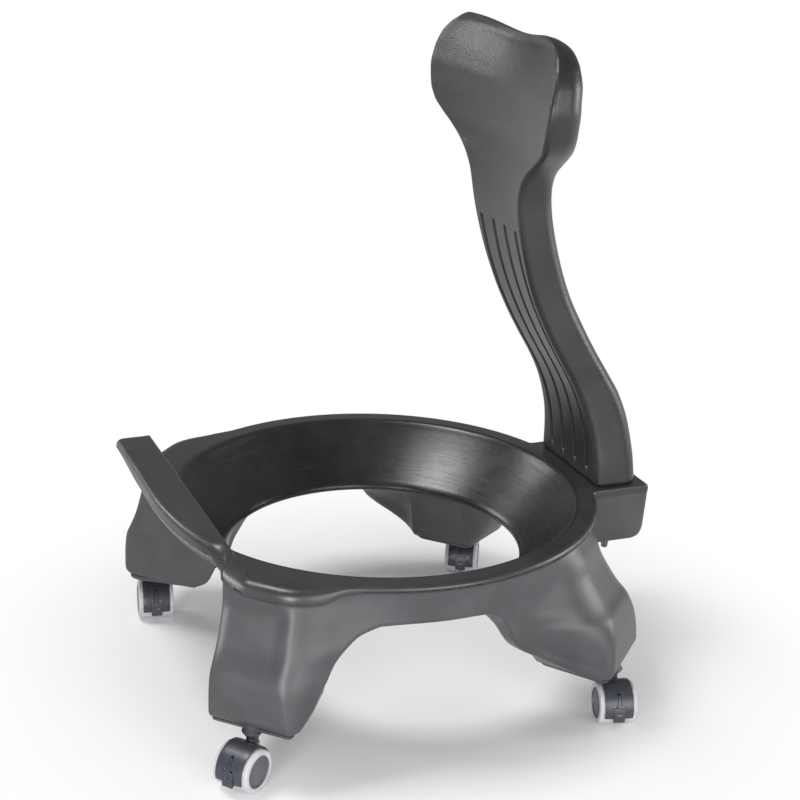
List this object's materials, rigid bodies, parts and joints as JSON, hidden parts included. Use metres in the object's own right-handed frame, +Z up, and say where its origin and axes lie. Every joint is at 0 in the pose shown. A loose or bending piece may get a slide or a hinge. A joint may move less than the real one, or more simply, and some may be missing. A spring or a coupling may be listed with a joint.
{
  "type": "balance ball chair",
  "caption": "Rolling seat ring on four legs with a bowl for an exercise ball, a raised front bar, a curved back support and braked twin-wheel casters.",
  "frame": {"origin": "on the floor under the middle of the chair's outline", "axes": "+Z up, the front bar towards -Y and the back support towards +Y; +X is the sitter's left"},
  "size_m": [0.54, 0.6133, 0.79],
  "materials": {
    "black_moulding": "satin black moulding",
    "cap_plastic": "satin",
    "hood_plastic": "semi-gloss",
    "hub_plastic": "satin dark grey",
    "tyre": "pale grey tread",
    "steel": "dark zinc"
  },
  "bodies": {
    "chair": {"base_frame": "black_moulding", "back_support": "black_moulding", "back_bolt_left": "steel", "back_bolt_right": "steel", "back_washer_left": "steel", "back_washer_right": "steel", "leg_cap_front_left": "cap_plastic", "leg_cap_rear_left": "cap_plastic", "leg_cap_front_right": "cap_plastic", "leg_cap_rear_right": "cap_plastic", "caster_socket_front_left": "cap_plastic", "caster_socket_rear_left": "cap_plastic", "caster_socket_front_right": "cap_plastic", "caster_socket_rear_right": "cap_plastic"},
    "caster_front_left": {"caster_stem_front_left": "steel", "caster_hood_front_left": "hood_plastic", "caster_axle_front_left": "steel"},
    "caster_rear_left": {"caster_stem_rear_left": "steel", "caster_hood_rear_left": "hood_plastic", "caster_axle_rear_left": "steel"},
    "caster_front_right": {"caster_stem_front_right": "steel", "caster_hood_front_right": "hood_plastic", "caster_axle_front_right": "steel"},
    "caster_rear_right": {"caster_stem_rear_right": "steel", "caster_hood_rear_right": "hood_plastic", "caster_axle_rear_right": "steel"},
    "wheel_front_left_a": {"wheel_tyre_front_left_a": "tyre", "wheel_hub_front_left_a": "hub_plastic"},
    "wheel_front_left_b": {"wheel_tyre_front_left_b": "tyre", "wheel_hub_front_left_b": "hub_plastic"},
    "wheel_rear_left_a": {"wheel_tyre_rear_left_a": "tyre", "wheel_hub_rear_left_a": "hub_plastic"},
    "wheel_rear_left_b": {"wheel_tyre_rear_left_b": "tyre", "wheel_hub_rear_left_b": "hub_plastic"},
    "wheel_front_right_a": {"wheel_tyre_front_right_a": "tyre", "wheel_hub_front_right_a": "hub_plastic"},
    "wheel_front_right_b": {"wheel_tyre_front_right_b": "tyre", "wheel_hub_front_right_b": "hub_plastic"},
    "wheel_rear_right_a": {"wheel_tyre_rear_right_a": "tyre", "wheel_hub_rear_right_a": "hub_plastic"},
    "wheel_rear_right_b": {"wheel_tyre_rear_right_b": "tyre", "wheel_hub_rear_right_b": "hub_plastic"},
    "lever_front_left": {"brake_lever_front_left": "hood_plastic"},
    "lever_rear_left": {"brake_lever_rear_left": "hood_plastic"},
    "lever_front_right": {"brake_lever_front_right": "hood_plastic"},
    "lever_rear_right": {"brake_lever_rear_right": "hood_plastic"}
  },
  "joints": [
    {"name": "swivel_front_left", "type": "hinge", "parent": "chair", "child": "caster_front_left", "pos_m": [0.217, -0.25, 0.055], "axis": [0, 0, 1], "continuous": true},
    {"name": "spin_front_left_a", "type": "hinge", "parent": "caster_front_left", "child": "wheel_front_left_a", "pos_m": [0.22783, -0.26438, 0.025], "axis": [0.7986, 0.6018, 0], "continuous": true},
    {"name": "spin_front_left_b", "type": "hinge", "parent": "caster_front_left", "child": "wheel_front_left_b", "pos_m": [0.22783, -0.26438, 0.025], "axis": [0.7986, 0.6018, 0], "continuous": true},
    {"name": "brake_front_left", "type": "hinge", "parent": "caster_front_left", "child": "lever_front_left", "pos_m": [0.24372, -0.28545, 0.03158], "axis": [-0.7986, -0.6018, 0], "range_deg": [0, 15]},
    {"name": "swivel_rear_left", "type": "hinge", "parent": "chair", "child": "caster_rear_left", "pos_m": [0.217, 0.198, 0.055], "axis": [0, 0, 1], "continuous": true},
    {"name": "spin_rear_left_a", "type": "hinge", "parent": "caster_rear_left", "child": "wheel_rear_left_a", "pos_m": [0.23447, 0.19365, 0.025], "axis": [0.2419, 0.9703, 0], "continuous": true},
    {"name": "spin_rear_left_b", "type": "hinge", "parent": "caster_rear_left", "child": "wheel_rear_left_b", "pos_m": [0.23447, 0.19365, 0.025], "axis": [0.2419, 0.9703, 0], "continuous": true},
    {"name": "brake_rear_left", "type": "hinge", "parent": "caster_rear_left", "child": "lever_rear_left", "pos_m": [0.26007, 0.18726, 0.03158], "axis": [-0.2419, -0.9703, 0], "range_deg": [0, 15]},
    {"name": "swivel_front_right", "type": "hinge", "parent": "chair", "child": "caster_front_right", "pos_m": [-0.217, -0.25, 0.055], "axis": [0, 0, 1], "continuous": true},
    {"name": "spin_front_right_a", "type": "hinge", "parent": "caster_front_right", "child": "wheel_front_right_a", "pos_m": [-0.19927, -0.25313, 0.025], "axis": [0.1736, 0.9848, 0], "continuous": true},
    {"name": "spin_front_right_b", "type": "hinge", "parent": "caster_front_right", "child": "wheel_front_right_b", "pos_m": [-0.19927, -0.25313, 0.025], "axis": [0.1736, 0.9848, 0], "continuous": true},
    {"name": "brake_front_right", "type": "hinge", "parent": "caster_front_right", "child": "lever_front_right", "pos_m": [-0.17328, -0.25771, 0.03158], "axis": [-0.1736, -0.9848, 0], "range_deg": [0, 15]},
    {"name": "swivel_rear_right", "type": "hinge", "parent": "chair", "child": "caster_rear_right", "pos_m": [-0.217, 0.198, 0.055], "axis": [0, 0, 1], "continuous": true},
    {"name": "spin_rear_right_a", "type": "hinge", "parent": "caster_rear_right", "child": "wheel_rear_right_a", "pos_m": [-0.20126, 0.18927, 0.025], "axis": [0.4848, 0.8746, 0], "continuous": true},
    {"name": "spin_rear_right_b", "type": "hinge", "parent": "caster_rear_right", "child": "wheel_rear_right_b", "pos_m": [-0.20126, 0.18927, 0.025], "axis": [0.4848, 0.8746, 0], "continuous": true},
    {"name": "brake_rear_right", "type": "hinge", "parent": "caster_rear_right", "child": "lever_rear_right", "pos_m": [-0.17817, 0.17648, 0.03158], "axis": [-0.4848, -0.8746, 0], "range_deg": [0, 15]}
  ]
}
